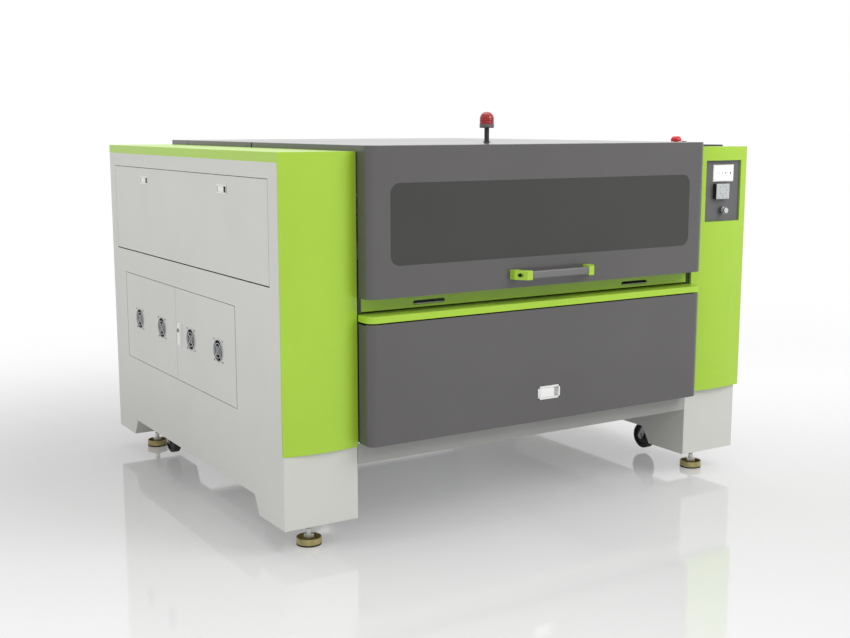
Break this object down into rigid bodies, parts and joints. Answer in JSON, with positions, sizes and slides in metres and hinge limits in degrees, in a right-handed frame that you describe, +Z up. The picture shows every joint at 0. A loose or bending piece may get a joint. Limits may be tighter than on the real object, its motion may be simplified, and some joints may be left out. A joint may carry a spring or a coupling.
{
  "type": "fabric laser cutting machine",
  "caption": "Cloth laser cutter with a windowed lifting hood, slotted feed gate, drop door and lit control recess between bowed green cabinets on feet and casters.",
  "frame": {"origin": "on the floor under the middle of the machine's box", "axes": "+X to the right seen from the front, -Y to the front, +Z up"},
  "size_m": [1.9195, 1.826, 1.357],
  "materials": {
    "frame_paint": "powder coat, satin",
    "grey_paint": "fine texture powder coat",
    "green_paint": "fine texture powder coat",
    "dark_paint": "fine texture powder coat",
    "panel_paint": "satin paint",
    "aluminium_slats": "mill finish",
    "zinc_sheet": "zinc plated",
    "yellow_zinc": "yellow zinc plated",
    "screen_plastic": "gloss display",
    "silver_keypad": "satin silver",
    "black_panel": "fine texture",
    "tube_glass": "clear glass",
    "tinted_window": "dark tinted acrylic",
    "handle_grey": "satin",
    "black_plastic": "moulded",
    "lamp_plastic": "translucent red lens",
    "black_steel": "satin black",
    "chrome_rod": "polished",
    "white_plastic": "moulded",
    "black_rubber": "moulded",
    "red_plastic": "moulded"
  },
  "bodies": {
    "machine": {"left_side_frame": "frame_paint", "right_side_frame": "frame_paint", "cross_beams": "frame_paint", "left_cabinet_shell": "grey_paint", "right_cabinet_shell": "grey_paint", "top_caps": "green_paint", "left_front_cover": "green_paint", "right_front_cover": "green_paint", "front_skirt": "grey_paint", "rear_panel": "grey_paint", "front_tray": "green_paint", "top_covers": "dark_paint", "work_table": "aluminium_slats", "scrap_tray": "zinc_sheet", "levelling_feet": "yellow_zinc", "front_brackets": "zinc_sheet", "control_panel_plate": "panel_paint", "control_screen": "screen_plastic", "jog_keypad": "silver_keypad", "switch_panel": "black_panel", "fixed_hinge_leaves": "zinc_sheet", "laser_tube": "tube_glass", "exhaust_spigot": "zinc_sheet", "laser_power_supply": "zinc_sheet"},
    "hood": {"hood_shell": "dark_paint", "hood_window": "tinted_window", "handle_brackets": "green_paint", "handle_bar": "handle_grey", "lamp_base": "black_plastic", "lamp_dome": "lamp_plastic"},
    "left_spring_cylinder": {"left_gas_spring_cylinder": "black_steel"},
    "left_spring_rod": {"left_gas_spring_rod": "chrome_rod"},
    "right_spring_cylinder": {"right_gas_spring_cylinder": "black_steel"},
    "right_spring_rod": {"right_gas_spring_rod": "chrome_rod"},
    "gate": {"feed_gate": "green_paint"},
    "front_door": {"lower_front_door": "dark_paint", "door_latch_plate": "white_plastic"},
    "front_paddle": {"door_latch_paddle": "white_plastic"},
    "left_door": {"left_upper_door": "grey_paint"},
    "left_rear_paddle": {"rear_latch_paddle": "white_plastic"},
    "left_front_paddle": {"front_latch_paddle": "white_plastic"},
    "right_door": {"right_upper_door": "grey_paint"},
    "fan_door_front": {"front_fan_door": "grey_paint", "front_door_fans": "black_plastic"},
    "fan_door_rear": {"rear_fan_door": "grey_paint", "rear_door_fans": "black_plastic"},
    "lever": {"lock_lever": "white_plastic"},
    "start": {"start_button": "silver_keypad"},
    "stop": {"estop_head": "red_plastic"},
    "key": {"key_rotor": "chrome_rod"},
    "gantry_beam": {"gantry": "aluminium_slats"},
    "carriage": {"laser_carriage": "black_steel"},
    "left_front_fork": {"left_front_caster_fork": "zinc_sheet"},
    "left_front_wheel": {"left_front_caster_wheel": "black_rubber"},
    "left_rear_fork": {"left_rear_caster_fork": "zinc_sheet"},
    "left_rear_wheel": {"left_rear_caster_wheel": "black_rubber"},
    "right_front_fork": {"right_front_caster_fork": "zinc_sheet"},
    "right_front_wheel": {"right_front_caster_wheel": "black_rubber"},
    "right_rear_fork": {"right_rear_caster_fork": "zinc_sheet"},
    "right_rear_wheel": {"right_rear_caster_wheel": "black_rubber"}
  },
  "joints": [
    {"name": "hood_hinge", "type": "hinge", "parent": "machine", "child": "hood", "pos_m": [0, -0.0195, 1.246], "axis": [-1, 0, 0], "range_deg": [0, 60]},
    {"name": "left_spring_pivot", "type": "hinge", "parent": "machine", "child": "left_spring_cylinder", "pos_m": [-0.675, -0.189, 1.01], "axis": [-1, 0, 0], "range_deg": [0, 49.83]},
    {"name": "left_spring_stroke", "type": "slide", "parent": "left_spring_cylinder", "child": "left_spring_rod", "axis": [0, -0.8629, 0.5054], "range_m": [0, 0.27513]},
    {"name": "right_spring_pivot", "type": "hinge", "parent": "machine", "child": "right_spring_cylinder", "pos_m": [0.675, -0.189, 1.01], "axis": [-1, 0, 0], "range_deg": [0, 49.83]},
    {"name": "right_spring_stroke", "type": "slide", "parent": "right_spring_cylinder", "child": "right_spring_rod", "axis": [0, -0.8629, 0.5054], "range_m": [0, 0.27513]},
    {"name": "gate_slide", "type": "slide", "parent": "machine", "child": "gate", "axis": [0, 0, 1], "range_m": [0, 0.07]},
    {"name": "front_door_hinge", "type": "hinge", "parent": "machine", "child": "front_door", "pos_m": [0, -0.849, 0.68], "axis": [-1, 0, 0], "range_deg": [0, 85]},
    {"name": "front_paddle_hinge", "type": "hinge", "parent": "front_door", "child": "front_paddle", "pos_m": [-0.036, -0.858, 0.4235], "axis": [0, 0, -1], "range_deg": [0, 40], "stiffness_Nm_per_rad": 0.15},
    {"name": "left_door_hinge", "type": "hinge", "parent": "machine", "child": "left_door", "pos_m": [-0.942, 0, 0.844], "axis": [0, -1, 0], "range_deg": [0, 90]},
    {"name": "right_door_hinge", "type": "hinge", "parent": "machine", "child": "right_door", "pos_m": [0.942, 0, 0.844], "axis": [0, 1, 0], "range_deg": [0, 90]},
    {"name": "left_front_paddle_hinge", "type": "hinge", "parent": "left_door", "child": "left_front_paddle", "pos_m": [-0.947, -0.329, 1.108], "axis": [0, 0, -1], "range_deg": [0, 40], "stiffness_Nm_per_rad": 0.1},
    {"name": "left_rear_paddle_hinge", "type": "hinge", "parent": "left_door", "child": "left_rear_paddle", "pos_m": [-0.947, 0.419, 1.108], "axis": [0, 0, -1], "range_deg": [0, 40], "stiffness_Nm_per_rad": 0.1},
    {"name": "fan_door_front_hinge", "type": "hinge", "parent": "machine", "child": "fan_door_front", "pos_m": [-0.942, -0.429, 0.57], "axis": [0, 0, 1], "range_deg": [0, 100]},
    {"name": "fan_door_rear_hinge", "type": "hinge", "parent": "machine", "child": "fan_door_rear", "pos_m": [-0.942, 0.627, 0.57], "axis": [0, 0, -1], "range_deg": [0, 100]},
    {"name": "lock_lever_hinge", "type": "hinge", "parent": "fan_door_front", "child": "lever", "pos_m": [-0.953, 0.0585, 0.5325], "axis": [0, -1, 0], "range_deg": [0, 40]},
    {"name": "left_front_swivel", "type": "hinge", "parent": "machine", "child": "left_front_fork", "pos_m": [-0.825, -0.474, 0.13], "axis": [0, 0, 1], "continuous": true},
    {"name": "left_front_roll", "type": "hinge", "parent": "left_front_fork", "child": "left_front_wheel", "pos_m": [-0.825, -0.438, 0.065], "axis": [1, 0, 0], "continuous": true},
    {"name": "left_rear_swivel", "type": "hinge", "parent": "machine", "child": "left_rear_fork", "pos_m": [-0.825, 0.474, 0.13], "axis": [0, 0, 1], "continuous": true},
    {"name": "left_rear_roll", "type": "hinge", "parent": "left_rear_fork", "child": "left_rear_wheel", "pos_m": [-0.825, 0.51, 0.065], "axis": [1, 0, 0], "continuous": true},
    {"name": "right_front_swivel", "type": "hinge", "parent": "machine", "child": "right_front_fork", "pos_m": [0.825, -0.474, 0.13], "axis": [0, 0, 1], "continuous": true},
    {"name": "right_front_roll", "type": "hinge", "parent": "right_front_fork", "child": "right_front_wheel", "pos_m": [0.825, -0.438, 0.065], "axis": [1, 0, 0], "continuous": true},
    {"name": "right_rear_swivel", "type": "hinge", "parent": "machine", "child": "right_rear_fork", "pos_m": [0.825, 0.474, 0.13], "axis": [0, 0, 1], "continuous": true},
    {"name": "right_rear_roll", "type": "hinge", "parent": "right_rear_fork", "child": "right_rear_wheel", "pos_m": [0.825, 0.51, 0.065], "axis": [1, 0, 0], "continuous": true},
    {"name": "start_press", "type": "slide", "parent": "machine", "child": "start", "axis": [0, 1, 0], "range_m": [0, 0.003], "stiffness_N_per_m": 400},
    {"name": "stop_press", "type": "slide", "parent": "machine", "child": "stop", "axis": [0, 0, -1], "range_m": [0, 0.005], "stiffness_N_per_m": 600, "springref_m": -0.002},
    {"name": "key_turn", "type": "hinge", "parent": "machine", "child": "key", "pos_m": [0.843, -0.589, 1.25], "axis": [0, 0, -1], "range_deg": [0, 90]},
    {"name": "gantry_travel", "type": "slide", "parent": "machine", "child": "gantry_beam", "axis": [0, -1, 0], "range_m": [0, 0.8]},
    {"name": "carriage_travel", "type": "slide", "parent": "gantry_beam", "child": "carriage", "axis": [1, 0, 0], "range_m": [-0.56, 0.56]}
  ],
  "couplings": [
    {"joint": "left_spring_pivot", "follows": "hood_hinge", "ratio": 0.8289},
    {"joint": "left_spring_stroke", "follows": "hood_hinge", "m_per_rad": 0.26254},
    {"joint": "right_spring_pivot", "follows": "hood_hinge", "ratio": 0.8289},
    {"joint": "right_spring_stroke", "follows": "hood_hinge", "m_per_rad": 0.26254}
  ]
}
